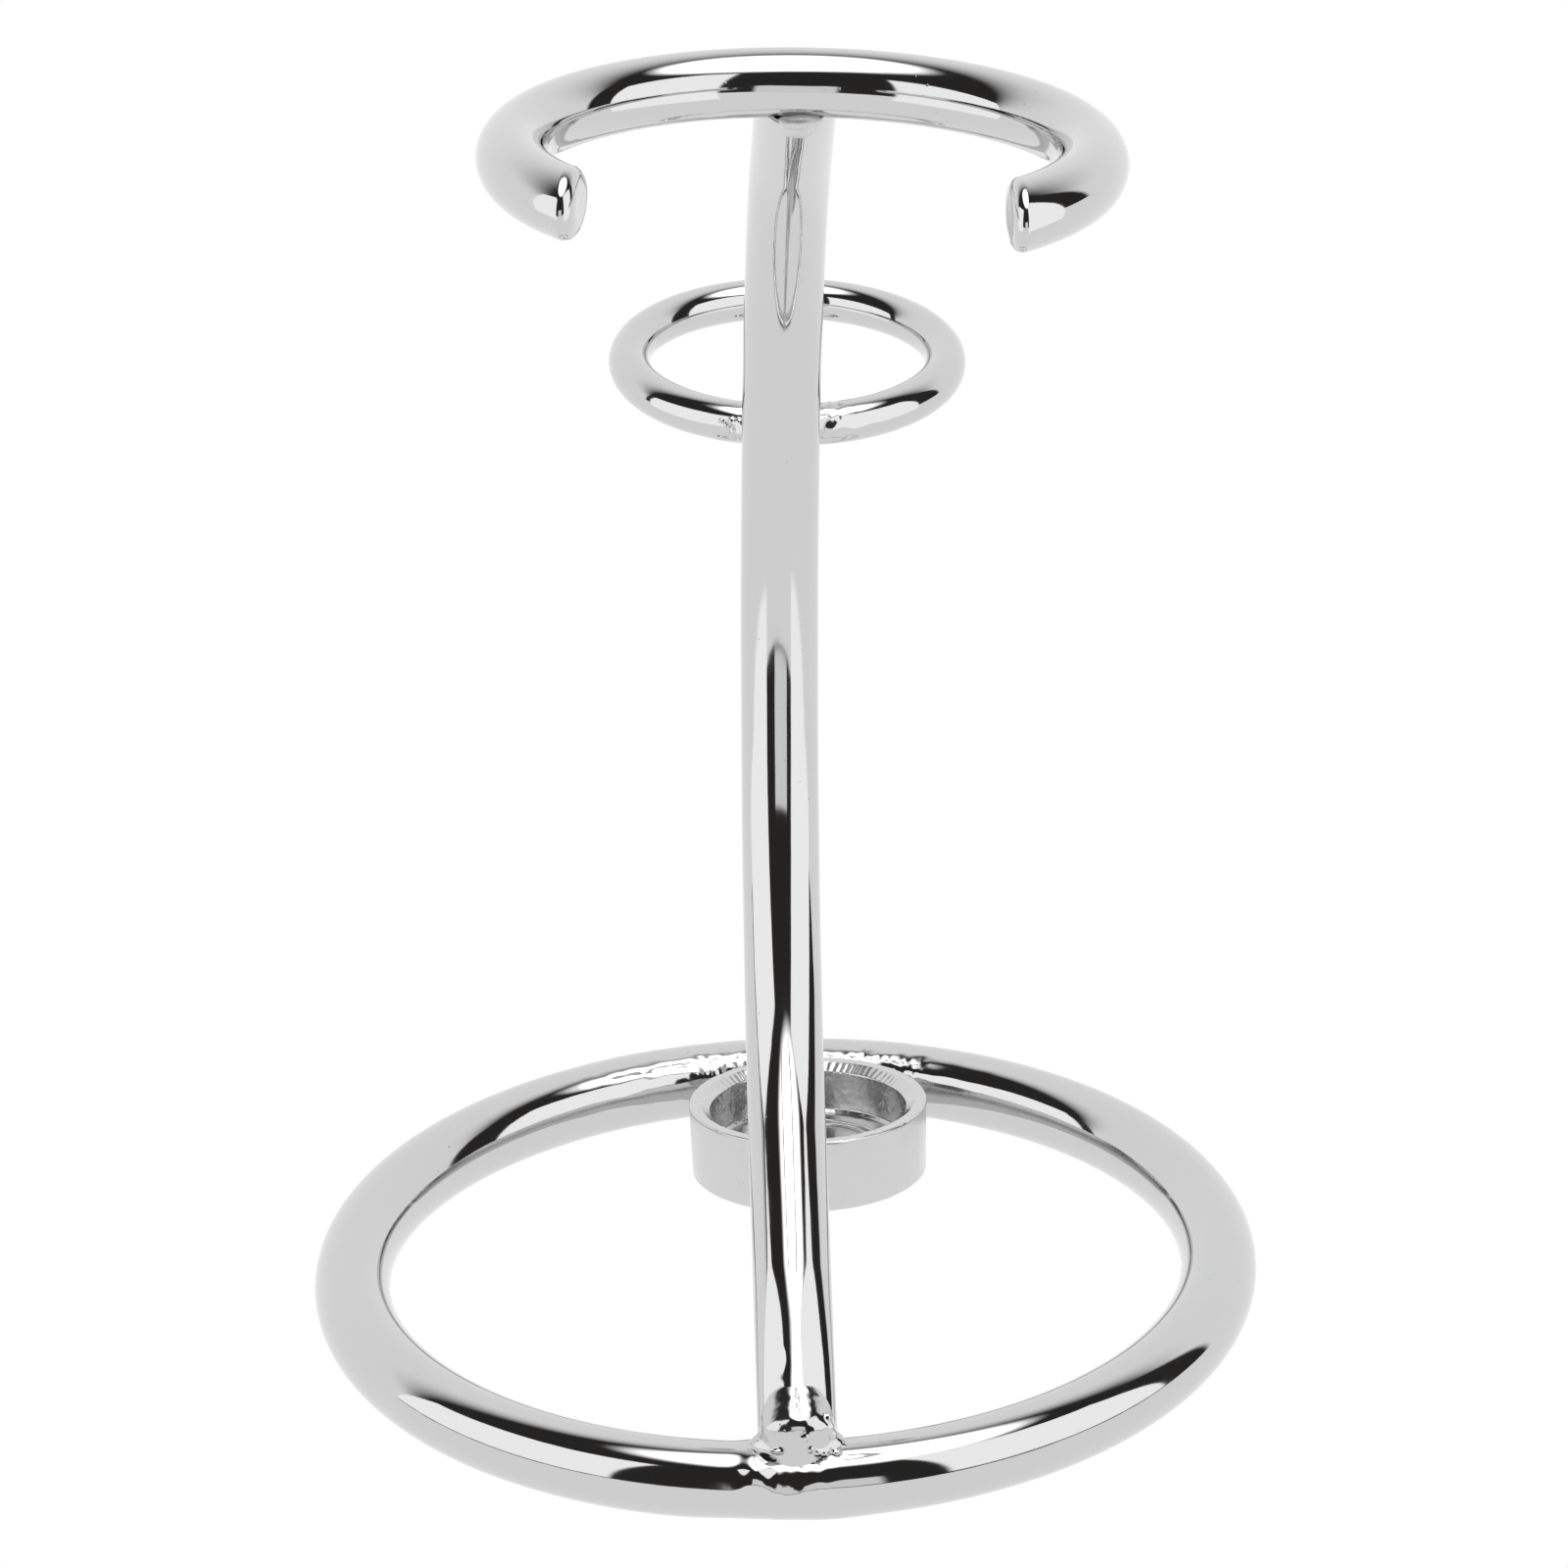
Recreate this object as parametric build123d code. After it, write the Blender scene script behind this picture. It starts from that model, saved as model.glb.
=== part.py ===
from build123d import *
import os
from math import cos, radians, sin, tan

# A free-standing stand for a safety razor and a shaving brush, bent from round
# steel wire, welded together and chrome plated.
# Millimetres. The origin is the centre of the base ring, on the table.
# +X is to the right, -Y is the front, where the brush ring opens, and +Z is up.

# ---- Base ring: one length of thick wire, butt welded at the front ----
BASE_OD = 90.0
THICK_WIRE = 7.2
BASE_JOINT_X = 0.5
BASE_JOINT_GAP = 1.0
BASE_JOINT_PROUD = 0.12

# ---- Stem: the same wire, four straight runs with three bends between them ----
FOOT = (0.65, -40.9, 7.9)
# Each run is (length from corner to corner, lean towards the back, lean to the right).
STEM_RUNS = [(50.6, 52.5, -0.2), (31.1, 12.0, 1.4), (34.2, 2.0, 1.95), (39.8, -47.8, 2.4)]
STEM_BENDS = [56.6, 98.0, 53.8]
HEAD_FLAT_DROP = 2.4

# ---- Brush ring: medium wire, open at the front ----
BRUSH_WIRE = 6.0
BRUSH_RING_D = 48.0
BRUSH_RING_PITCH = -3.5
BRUSH_RING_ROLL = 2.3
BRUSH_END_LEFT = -18.35
BRUSH_END_RIGHT = 16.5
BRUSH_SKEW_LEFT = 11.0
BRUSH_SKEW_RIGHT = 5.0

# ---- Razor ring: thin wire, closed, above the cup ----
RAZOR_WIRE = 3.9
RAZOR_RING_D = 29.8
RAZOR_RING_PITCH = 3.0
RAZOR_RING_ROLL = 1.7
RAZOR_RING_Z = 86.2
RAZOR_AXIS = (2.7, 26.1)

# ---- Cup that holds the end of the razor's handle ----
CUP_OD = 23.5
CUP_FOOT_OD = 23.1
CUP_HEIGHT = 7.4
CUP_SINK = 0.5
CUP_PITCH = -5.3
CUP_RIM = 1.15
CUP_BEVEL_WIDTH = 0.95
CUP_BEVEL_DROP = 0.75
CUP_DEPTH = 5.0
CUP_RECESS_D = 14.8
CUP_RECESS_DEPTH = 0.5
CUP_EDGE_CHAMFER = 0.3

# ---- Weld beads ----
FOOT_BEAD_D = 8.6
FOOT_BEAD_RISE = 0.6
HEAD_BEAD_D = 3.6
HEAD_BEAD_DROP = 1.2
RAZOR_BEAD_D = 3.4
CUP_BEAD_D = 3.4
CUP_BEAD_SPREAD = 5.6
CUP_BEAD_Z = 4.6

BASE_R = (BASE_OD - THICK_WIRE) / 2
THICK_R = THICK_WIRE / 2


def run_direction(lean_back, lean_right):
    """Unit vector that rises and leans by the two angles, in degrees."""
    back = radians(lean_back)
    right = radians(lean_right)
    return Vector(sin(right), sin(back) * cos(right), cos(back) * cos(right))


def stem_corners():
    """The foot, the two corners that the bends round off, and the head."""
    corners = [Vector(*FOOT)]
    for length, lean_back, lean_right in STEM_RUNS:
        corners.append(corners[-1] + run_direction(lean_back, lean_right) * length)
    return corners


def ring_plane(centre, pitch, roll):
    """Plane of a ring: a pitch above 0 lowers its front, a roll above 0 its right."""
    normal = Vector(
        sin(radians(roll)),
        -sin(radians(pitch)) * cos(radians(roll)),
        cos(radians(pitch)) * cos(radians(roll)),
    )
    return Plane(origin=centre, x_dir=Vector(0, 1, 0).cross(normal), z_dir=normal)


def wire_ring(plane, ring_d, wire_d):
    return plane.location * Torus(ring_d / 2, wire_d / 2)


def wire_along(path, wire_d):
    """Round wire of one diameter along a path."""
    section = Plane(origin=path @ 0, z_dir=path % 0) * Circle(wire_d / 2)
    return sweep(section, path=path)


def weld_bead(centre, diameter, neighbours):
    """Round bead, cut back to the surfaces of the pieces that it joins."""
    bead = Pos(centre) * Sphere(diameter / 2)
    for neighbour in neighbours:
        bead = bead - neighbour
    return bead


def make_base_ring():
    ring = Pos(0, 0, THICK_R) * Torus(BASE_R, THICK_R)
    gap = Pos(BASE_JOINT_X, -BASE_R, THICK_R) * Box(BASE_JOINT_GAP, 2 * THICK_WIRE, 2 * THICK_WIRE)
    return ring - gap


def make_base_joint_weld():
    """Filler between the two ends of the base ring, slightly proud but flat below."""
    fat_ring = Pos(0, 0, THICK_R) * Torus(BASE_R, THICK_R + BASE_JOINT_PROUD)
    slot = Pos(BASE_JOINT_X, -BASE_R, THICK_WIRE) * Box(BASE_JOINT_GAP, 2 * THICK_WIRE, 2 * THICK_WIRE)
    return fat_ring & slot


def make_stem(corners, base_ring, base_joint_weld, brush_ring):
    """Bent wire, cut square at the foot and level at the head, where the ring lies on it."""
    path = FilletPolyline(*corners, radius=STEM_BENDS)
    wire = wire_along(path, THICK_WIRE)
    head = corners[-1]
    above_flat = Pos(head.X, head.Y, head.Z - HEAD_FLAT_DROP + THICK_WIRE) * Box(
        4 * THICK_WIRE, 4 * THICK_WIRE, 2 * THICK_WIRE
    )
    return wire - above_flat - base_ring - base_joint_weld - brush_ring


def brush_ring_plane(head):
    """The middle of the ring's back sits on the end of the stem."""
    tilted = ring_plane(Vector(0, 0, 0), BRUSH_RING_PITCH, BRUSH_RING_ROLL)
    centre = head - tilted.y_dir * (BRUSH_RING_D / 2)
    return ring_plane(centre, BRUSH_RING_PITCH, BRUSH_RING_ROLL)


def gap_edge(end_x, skew, y):
    """Where a saw cut through the wire at end_x lies at another depth y in the ring's plane."""
    wire_y = -((BRUSH_RING_D / 2) ** 2 - end_x**2) ** 0.5
    return end_x + (y - wire_y) * tan(radians(skew))


def make_brush_ring(plane):
    """Open ring. Its two ends are sawn almost front to back, so their faces look sideways."""
    ring = wire_ring(plane, BRUSH_RING_D, BRUSH_WIRE)
    back_y = -BRUSH_RING_D / 4
    front_y = -BRUSH_RING_D / 2 - BRUSH_WIRE
    gap = Polyline(
        (gap_edge(BRUSH_END_LEFT, BRUSH_SKEW_LEFT, back_y), back_y),
        (gap_edge(BRUSH_END_RIGHT, -BRUSH_SKEW_RIGHT, back_y), back_y),
        (gap_edge(BRUSH_END_RIGHT, -BRUSH_SKEW_RIGHT, front_y), front_y),
        (gap_edge(BRUSH_END_LEFT, BRUSH_SKEW_LEFT, front_y), front_y),
        close=True,
    )
    return ring - plane.location * extrude(make_face(gap), amount=BRUSH_WIRE, both=True)


def make_cup(plane, base_ring):
    """Turned cup with a bevelled mouth, a recessed floor and its low edge ground flat."""
    outer_r = CUP_OD / 2
    bore_r = outer_r - CUP_RIM - CUP_BEVEL_WIDTH
    floor_z = CUP_HEIGHT - CUP_DEPTH
    profile = Polyline(
        (0, 0),
        (CUP_FOOT_OD / 2 - CUP_EDGE_CHAMFER, 0),
        (CUP_FOOT_OD / 2, CUP_EDGE_CHAMFER),
        (outer_r, CUP_HEIGHT),
        (outer_r - CUP_RIM, CUP_HEIGHT),
        (bore_r, CUP_HEIGHT - CUP_BEVEL_DROP),
        (bore_r, floor_z),
        (CUP_RECESS_D / 2, floor_z),
        (CUP_RECESS_D / 2, floor_z - CUP_RECESS_DEPTH),
        (0, floor_z - CUP_RECESS_DEPTH),
        close=True,
    )
    cup = plane.location * revolve(Plane.XZ * make_face(profile), Axis.Z)
    below_table = Pos(RAZOR_AXIS[0], RAZOR_AXIS[1], -CUP_OD / 2) * Box(2 * CUP_OD, 2 * CUP_OD, CUP_OD)
    return cup - below_table - base_ring


def cup_plane():
    """The cup's underside. Its front is raised, and its back edge would dip below the table."""
    lift = CUP_FOOT_OD / 2 * sin(radians(-CUP_PITCH)) - CUP_SINK
    return ring_plane(Vector(RAZOR_AXIS[0], RAZOR_AXIS[1], lift), CUP_PITCH, 0)


def make_foot_weld(corners, neighbours):
    """Round bead that caps the end of the stem on top of the base ring."""
    return weld_bead(corners[0] + Vector(0, 0, FOOT_BEAD_RISE), FOOT_BEAD_D, neighbours)


def make_head_welds(corners, neighbours):
    """A small bead in front, under the brush ring, and one behind it on the stem's level end."""
    head = corners[-1]
    along = run_direction(*STEM_RUNS[-1][1:])
    backwards = along.cross(Vector(1, 0, 0)).normalized()
    front_centre = head - along * HEAD_BEAD_DROP - backwards * THICK_R
    back_centre = head + Vector(0, BRUSH_WIRE / 2, -HEAD_FLAT_DROP)
    front = weld_bead(front_centre, HEAD_BEAD_D, neighbours)
    back = weld_bead(back_centre, HEAD_BEAD_D, neighbours)
    return front, back


def make_razor_ring_welds(corners, neighbours):
    """A bead on each side, where the razor ring touches the back of the stem."""
    contact_y = RAZOR_AXIS[1] - RAZOR_RING_D / 2
    contact_z = RAZOR_RING_Z - RAZOR_RING_D / 2 * sin(radians(RAZOR_RING_PITCH))
    low, high = corners[2], corners[3]
    stem_x = low.X + (high.X - low.X) * (contact_z - low.Z) / (high.Z - low.Z)
    welds = []
    for side in (-1, 1):
        centre = Vector(stem_x + side * THICK_R, contact_y - RAZOR_WIRE / 2, contact_z)
        welds.append(weld_bead(centre, RAZOR_BEAD_D, neighbours))
    return welds


def make_cup_welds(neighbours):
    """A bead on each side of the line where the cup touches the base ring."""
    outwards = Vector(RAZOR_AXIS[0], RAZOR_AXIS[1], 0).normalized()
    contact = outwards * (BASE_R - THICK_R) + Vector(0, 0, CUP_BEAD_Z)
    sideways = Vector(0, 0, 1).cross(outwards)
    welds = []
    for side in (1, -1):
        centre = contact + sideways * side * CUP_BEAD_SPREAD
        welds.append(weld_bead(centre, CUP_BEAD_D, neighbours))
    return welds


def build_parts():
    corners = stem_corners()
    base_ring = make_base_ring()
    base_joint_weld = make_base_joint_weld()
    brush_ring = make_brush_ring(brush_ring_plane(corners[-1]))
    stem = make_stem(corners, base_ring, base_joint_weld, brush_ring)

    razor_centre = Vector(RAZOR_AXIS[0], RAZOR_AXIS[1], RAZOR_RING_Z)
    razor_plane = ring_plane(razor_centre, RAZOR_RING_PITCH, RAZOR_RING_ROLL)
    razor_ring = wire_ring(razor_plane, RAZOR_RING_D, RAZOR_WIRE) - stem
    cup = make_cup(cup_plane(), base_ring)

    head_front, head_back = make_head_welds(corners, [stem, brush_ring])
    razor_left, razor_right = make_razor_ring_welds(corners, [stem, razor_ring])
    cup_left, cup_right = make_cup_welds([cup, base_ring])
    return {
        "base_ring": base_ring,
        "base_joint_weld": base_joint_weld,
        "stem": stem,
        "brush_ring": brush_ring,
        "razor_ring": razor_ring,
        "razor_cup": cup,
        "foot_weld": make_foot_weld(corners, [stem, base_ring, base_joint_weld]),
        "head_weld_front": head_front,
        "head_weld_back": head_back,
        "razor_ring_weld_left": razor_left,
        "razor_ring_weld_right": razor_right,
        "cup_weld_left": cup_left,
        "cup_weld_right": cup_right,
    }


os.makedirs("parts", exist_ok=True)
for name, shape in build_parts().items():
    export_step(shape, f"parts/{name}.step")
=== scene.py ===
from math import ceil, cos, pi, radians, sin

import bmesh
import bpy
import numpy as np
from mathutils import Matrix, Vector, noise


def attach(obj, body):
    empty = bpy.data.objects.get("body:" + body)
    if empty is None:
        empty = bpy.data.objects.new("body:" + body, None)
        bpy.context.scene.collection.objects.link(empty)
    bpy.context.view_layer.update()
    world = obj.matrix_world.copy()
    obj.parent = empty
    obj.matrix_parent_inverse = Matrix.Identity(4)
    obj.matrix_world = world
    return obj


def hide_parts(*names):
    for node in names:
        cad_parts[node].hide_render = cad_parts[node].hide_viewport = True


# Looks of a chromed wire stand for a safety razor and a shaving brush.
# Shapes are worked out in millimetres, in the frame of the CAD model, and
# become metres when a mesh is made. Angles given as numbers are in degrees.

MM = 0.001
UP = np.array([0.0, 0.0, 1.0])

# ---- Driving dimensions, the same as in the CAD source ----
BASE_OD = 90.0
THICK_WIRE = 7.2
BASE_JOINT_X = 0.5

FOOT = np.array([0.65, -40.9, 7.9])
# Each run is (length from corner to corner, lean towards the back, lean to the right).
STEM_RUNS = [(50.6, 52.5, -0.2), (31.1, 12.0, 1.4), (34.2, 2.0, 1.95), (39.8, -47.8, 2.4)]
STEM_BENDS = [56.6, 98.0, 53.8]
HEAD_FLAT_DROP = 2.4

BRUSH_WIRE = 6.0
BRUSH_RING_D = 48.0
BRUSH_RING_PITCH = -3.5
BRUSH_RING_ROLL = 2.3
BRUSH_END_LEFT = -18.35
BRUSH_END_RIGHT = 16.5
BRUSH_SKEW_LEFT = 11.0
BRUSH_SKEW_RIGHT = 5.0

RAZOR_WIRE = 3.9
RAZOR_RING_D = 29.8
RAZOR_RING_PITCH = 3.0
RAZOR_RING_ROLL = 1.7
RAZOR_RING_Z = 86.2
RAZOR_AXIS = (2.7, 26.1)

CUP_OD = 23.5
CUP_FOOT_OD = 23.1
CUP_HEIGHT = 7.4
CUP_SINK = 0.5
CUP_PITCH = -5.3
CUP_RIM = 1.15
CUP_BEVEL_WIDTH = 0.95
CUP_BEVEL_DROP = 0.75
CUP_DEPTH = 5.0
CUP_RECESS_D = 14.8
CUP_RECESS_DEPTH = 0.5

# ---- Details that only the looks have, in mm ----
# The rounding of the brush ring's cut ends.
BRUSH_ROUND_LEFT = 1.2
BRUSH_ROUND_RIGHT = 1.0
# The stem's level cut is bevelled from this far in front of the head, by this drop per mm.
HEAD_BEVEL_START = 1.5
HEAD_BEVEL_SLOPE = 0.8
# The stem's front is filed down, most at its foot and not at all this far from it, on a side that
# faces this way.
FILED_DEPTH = 0.85
FILED_REACH = 16.0
FILED_SIDE = np.array([0, -0.609, 0.793])
# Humps left by grinding the base ring's joint: x, height, half width, half height and rise.
JOINT_HUMPS = [(-3.3, 5.8, 1.2, 1.3, 0.34), (2.4, 4.6, 1.4, 1.3, 0.13)]
# Unevenness of its underside: x, half width and rise.
JOINT_UNDERSIDE = [(-5.0, 4.0, -0.16), (3.4, 3.0, 0.10)]
# The notch between the wire's two ends: a V that leans to the right.
NOTCH_X = -0.7
NOTCH_TIP_Z = 2.6
NOTCH_LEAN = 0.15
NOTCH_TIP_WIDTH = 0.6
NOTCH_SPREAD = 0.5
NOTCH_DEPTH = 0.34

# The foot weld's drops and crumbs: place from the stem's foot, and radii.
FOOT_DROPS = [
    ((0.65, -2.4, 1.1), (0.4, 0.35, 0.45)),
    ((0.45, -2.4, 0.4), (0.3, 0.3, 0.35)),
    ((1.05, -2.4, -0.1), (0.45, 0.3, 0.3)),
    ((1.75, -2.3, -0.5), (0.35, 0.3, 0.3)),
    ((2.35, -2.1, -0.7), (0.4, 0.3, 0.3)),
    ((-1.85, -2.45, -0.2), (0.8, 0.25, 0.2)),
    ((3.55, -1.7, -0.9), (0.5, 0.4, 0.3)),
    ((2.8, -0.5, 2.1), (0.4, 0.5, 0.5)),
    ((3.05, -0.7, 1.3), (0.35, 0.5, 0.4)),
    ((3.25, -0.8, 0.5), (0.4, 0.5, 0.5)),
]
# Crumbs on the razor ring: distance outwards from the stem, height and radius.
RAZOR_CRUMBS = [(0.2, 0.8, 0.6), (0.8, 1.0, 0.45), (1.2, 0.5, 0.4), (1.8, 0.9, 0.3)]
# The cup's two welds: distance of each from the point of contact, and height.
CUP_WELD_SPREAD = 5.6
CUP_WELD_HEIGHT = 4.6

# ---- Materials: base tones, and relief in metres ----
WIRE_TONE = (0.61, 0.61, 0.615)
WELD_TONE = (0.59, 0.59, 0.59)
DULL_WELD_TONE = (0.66, 0.66, 0.66)
SATIN_TONE = (0.63, 0.63, 0.63)
SATIN_PIT_TONE = (0.33, 0.32, 0.31)
PIT_SHADE = 0.55

# ---- Studio, in mm ----
FLOOR_BRIGHTNESS = 1.0
FLOOR_REACH = 6000
# The floor lies this far under the stand, and the paper ends at this y in front.
FLOOR_GAP = 0.02
FLOOR_FRONT_Y = -575
# The dark room beyond it lies at this height.
DARK_ROOM_Z = 1
ROOM_COLOUR = (1.0, 0.90, 0.86)
ROOM_BRIGHTNESS = 0.03
SIDE_BRIGHTNESS = 1.32
SIDE_SOFTNESS = 0.05
# Middle x and y, half length along x and y, and height.
OVERHEAD = (60, -60, 288, 280, 512)
OVERHEAD_BRIGHTNESS = 3.0
OVERHEAD_SOFTNESS = 0.38
# Start and end on the floor plan, low edge, and the high edge at the start and at the end.
LEFT_LIGHT = ((-177, -231), (-404, 56), 8, 364, 270)
RIGHT_LIGHT = ((117, -189), (369, 10), 8, 345, 375)
FRONT_BOARD = ((-145, -498), (192, -498), 8, 205, 205)
FRONT_BRIGHTNESS = 0.9
FRONT_SOFTNESS = 0.15
BACKDROP = ((-1027, 177), (536, 177), -600, 560, 560)
BACKDROP_SOFT_SIDES = 0.1
BACKDROP_SOFT_ENDS = 0.6

# ---- Camera: place and clipping in metres, lens and sensor in mm ----
CAMERA_PLACE = (0, -0.6105, 0.3266)
CAMERA_DOWN = 24.053
CAMERA_RIGHT_TURN = 0.113
CAMERA_ROLL = -1.6424
CAMERA_LENS = 165.28
CAMERA_SENSOR = 36
CAMERA_CLIP = (0.05, 50)

BASE_R = (BASE_OD - THICK_WIRE) / 2
THICK_R = THICK_WIRE / 2
BRUSH_R = BRUSH_WIRE / 2
RAZOR_R = RAZOR_WIRE / 2
CUP_LIP_R = CUP_OD / 2 - CUP_RIM
CUP_BORE_R = CUP_LIP_R - CUP_BEVEL_WIDTH

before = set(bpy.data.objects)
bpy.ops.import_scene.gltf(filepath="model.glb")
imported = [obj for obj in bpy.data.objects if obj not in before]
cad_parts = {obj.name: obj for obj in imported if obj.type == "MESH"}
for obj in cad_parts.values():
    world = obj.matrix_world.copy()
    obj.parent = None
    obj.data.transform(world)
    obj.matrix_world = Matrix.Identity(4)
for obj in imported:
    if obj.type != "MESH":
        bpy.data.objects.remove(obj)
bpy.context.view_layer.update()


# =============================== mesh helpers ===============================

def unit(v):
    """A vector, or each of an array of them, at length 1."""
    v = np.asarray(v, float)
    return v / np.linalg.norm(v, axis=-1, keepdims=True)


def smooth_step(start, end, value):
    """0 up to start and 1 from end on, with a soft change between; end may be below start."""
    t = np.clip((value - start) / (end - start), 0, 1)
    return t * t * (3 - 2 * t)


def ridge(value, middle, width):
    """A bell curve of height 1."""
    return np.exp(-(((value - middle) / width) ** 2))


def lumps(points, size, seed):
    """Smooth noise between about -1 and 1, with lumps about that size in mm."""
    seed_shift = 17.3
    flat = points.reshape(-1, 3) / size + seed * seed_shift
    return np.array([noise.noise(Vector(p)) for p in flat]).reshape(points.shape[:-1])


def graded(length, spots, fine, coarse, reach):
    """Positions along a length, fine within reach of each spot and coarser elsewhere."""
    grid = np.linspace(0, length, 6000)
    step = np.full_like(grid, coarse)
    for spot in spots:
        away = np.abs(grid - spot)
        step = np.minimum(step, fine + (coarse - fine) * smooth_step(reach, 2 * reach, away))
    count = np.concatenate([[0], np.cumsum(np.diff(grid) * 2 / (step[1:] + step[:-1]))])
    steps = ceil(count[-1])
    return np.interp(np.linspace(0, count[-1], steps + 1), count, grid)


def full_turn(columns):
    """Evenly spaced angles round a full turn, in radians."""
    return np.arange(columns) * 2 * pi / columns


def grid_faces(rows, columns, closed):
    """Quads of a grid whose columns wrap round, and whose rows do too if it is closed."""
    faces = []
    for i in range(rows if closed else rows - 1):
        a = i * columns
        b = (i + 1) % rows * columns
        for j in range(columns):
            k = (j + 1) % columns
            faces.append((a + j, a + k, b + k, b + j))
    return faces


def capped_faces(rows, columns):
    """Faces of stacked rings with a fan at each end, for points in the order of capped_points."""
    faces = grid_faces(rows, columns, closed=False)
    tail = (rows - 1) * columns
    first = rows * columns
    last = first + 1
    for j in range(columns):
        k = (j + 1) % columns
        faces.append((first, k, j))
        faces.append((last, tail + j, tail + k))
    return faces


def capped_points(rings):
    """The points of stacked rings, then the middle of the first ring and of the last."""
    return np.vstack([rings.reshape(-1, 3), rings[0].mean(0), rings[-1].mean(0)])


def make_piece(name, node, points, faces, look, wire_space=None):
    """A smooth-shaded mesh in metres that rides on the root and stands for a CAD node.

    Look is a material and a slot name, and the slot name is not used. The wire space says how far
    along and round its wire each point is, in mm, for the lines of the plating.
    """
    material, slot = look
    mesh = bpy.data.meshes.new(name)
    mesh.from_pydata((points * MM).tolist(), [], faces)
    mesh.validate()
    mesh.shade_smooth()
    if wire_space is not None:
        attribute = mesh.attributes.new("wire_space", "FLOAT_VECTOR", "POINT")
        attribute.data.foreach_set("vector", (wire_space * MM).astype(np.float32).ravel())
    piece = bpy.data.objects.new(name, mesh)
    bpy.context.scene.collection.objects.link(piece)
    mesh.materials.append(material)
    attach(piece, "root")
    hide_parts(node)
    return piece


# =============================== where things are ===============================

def ring_axes(pitch, roll):
    """x, y and normal of a ring: a pitch above 0 lowers its front, a roll above 0 its right."""
    p, r = radians(pitch), radians(roll)
    normal = np.array([sin(r), -sin(p) * cos(r), cos(p) * cos(r)])
    across = unit(np.cross([0, 1, 0], normal))
    return across, np.cross(normal, across), normal


def run_direction(run):
    """Unit vector along one of the stem's runs, upwards."""
    _, lean_back, lean_right = run
    back, right = radians(lean_back), radians(lean_right)
    return np.array([sin(right), sin(back) * cos(right), cos(back) * cos(right)])


def stem_corners():
    """Where the stem's runs would meet if they weren't rounded, with its two ends."""
    corners = [FOOT]
    for run in STEM_RUNS:
        corners.append(corners[-1] + run_direction(run) * run[0])
    return corners


def stem_x(height):
    """How far to the right the stem's middle is at a height on its third run."""
    (low_x, _, low_z), (high_x, _, high_z) = CORNERS[2:4]
    return np.interp(height, [low_z, high_z], [low_x, high_x])


def rounded_path(corners, bends, step):
    """Points along straight runs whose inner corners are rounded by arcs of these radii."""
    points = [corners[0]]
    for before, corner, after, radius in zip(corners, corners[1:], corners[2:], bends):
        inwards, outwards = unit(before - corner), unit(after - corner)
        half = np.arccos(np.clip(inwards @ outwards, -1, 1)) / 2
        middle = corner + unit(inwards + outwards) * radius / np.sin(half)
        start = corner + inwards * radius / np.tan(half)
        out = unit(start - middle)
        ahead = -inwards
        sweep = pi - 2 * half
        for angle in np.linspace(0, sweep, ceil(radius * sweep / step)):
            points.append(middle + radius * (out * np.cos(angle) + ahead * np.sin(angle)))
    points.append(corners[-1])
    return np.array(points)


def path_distances(points):
    """How far along a line of points each of them is."""
    lengths = np.linalg.norm(np.diff(points, axis=0), axis=1)
    return np.concatenate([[0], np.cumsum(lengths)])


def sample_path(points, distances):
    """Positions and directions at these distances along a line of points."""
    travelled = path_distances(points)
    half_span = 0.4

    def at(s):
        return np.stack([np.interp(s, travelled, points[:, k]) for k in range(3)], axis=-1)

    low = np.clip(distances - half_span, 0, travelled[-1])
    high = np.clip(distances + half_span, 0, travelled[-1])
    return at(distances), unit(at(high) - at(low))


CORNERS = stem_corners()
HEAD = CORNERS[-1]
BRUSH_AXES = ring_axes(BRUSH_RING_PITCH, BRUSH_RING_ROLL)
BRUSH_CENTRE = HEAD - BRUSH_AXES[1] * BRUSH_RING_D / 2
RAZOR_AXES = ring_axes(RAZOR_RING_PITCH, RAZOR_RING_ROLL)
RAZOR_CENTRE = np.array([*RAZOR_AXIS, RAZOR_RING_Z])
RAZOR_CONTACT = RAZOR_CENTRE - RAZOR_AXES[1] * RAZOR_RING_D / 2
CUP_OUTWARDS = unit([*RAZOR_AXIS, 0])
CUP_CONTACT = CUP_OUTWARDS * (BASE_R - THICK_R) + UP * CUP_WELD_HEIGHT


# =============================== wires ===============================

def wire_surface(angles, turns, axes, centre, ring_r, wire_r, relief):
    """Points of a wire bent into a ring, and their wire space.

    Angles go round the ring and turns go round the wire. Relief gives the height of the surface
    over the round wire.
    """
    x, y, normal = axes
    radial = np.cos(angles)[..., None] * x + np.sin(angles)[..., None] * y
    outwards = np.cos(turns)[..., None] * radial + np.sin(turns)[..., None] * normal
    points = centre + radial * ring_r + outwards * wire_r
    space = np.stack(
        [angles * ring_r, wire_r * np.cos(turns), wire_r * np.sin(turns)], axis=-1
    )
    return points + outwards * relief(points)[..., None], space


def closed_ring(name, node, axes, centre, ring_r, wire_r, columns, spots, relief, look):
    """A whole ring, with its seam at the back. Spots are the angles that get a fine mesh."""
    seam = pi / 2
    places = [(radians(spot) - seam) % (2 * pi) * ring_r for spot in spots]
    along = graded(2 * pi * ring_r, places, fine=0.14, coarse=0.7, reach=3.5)[:-1]
    angles, turns = np.meshgrid(along / ring_r + seam, full_turn(columns), indexing="ij")
    points, space = wire_surface(angles, turns, axes, centre, ring_r, wire_r, relief)
    faces = grid_faces(len(along), columns, closed=True)
    return make_piece(name, node, points.reshape(-1, 3), faces, look, space.reshape(-1, 3))


# ---- Base ring ----

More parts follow.
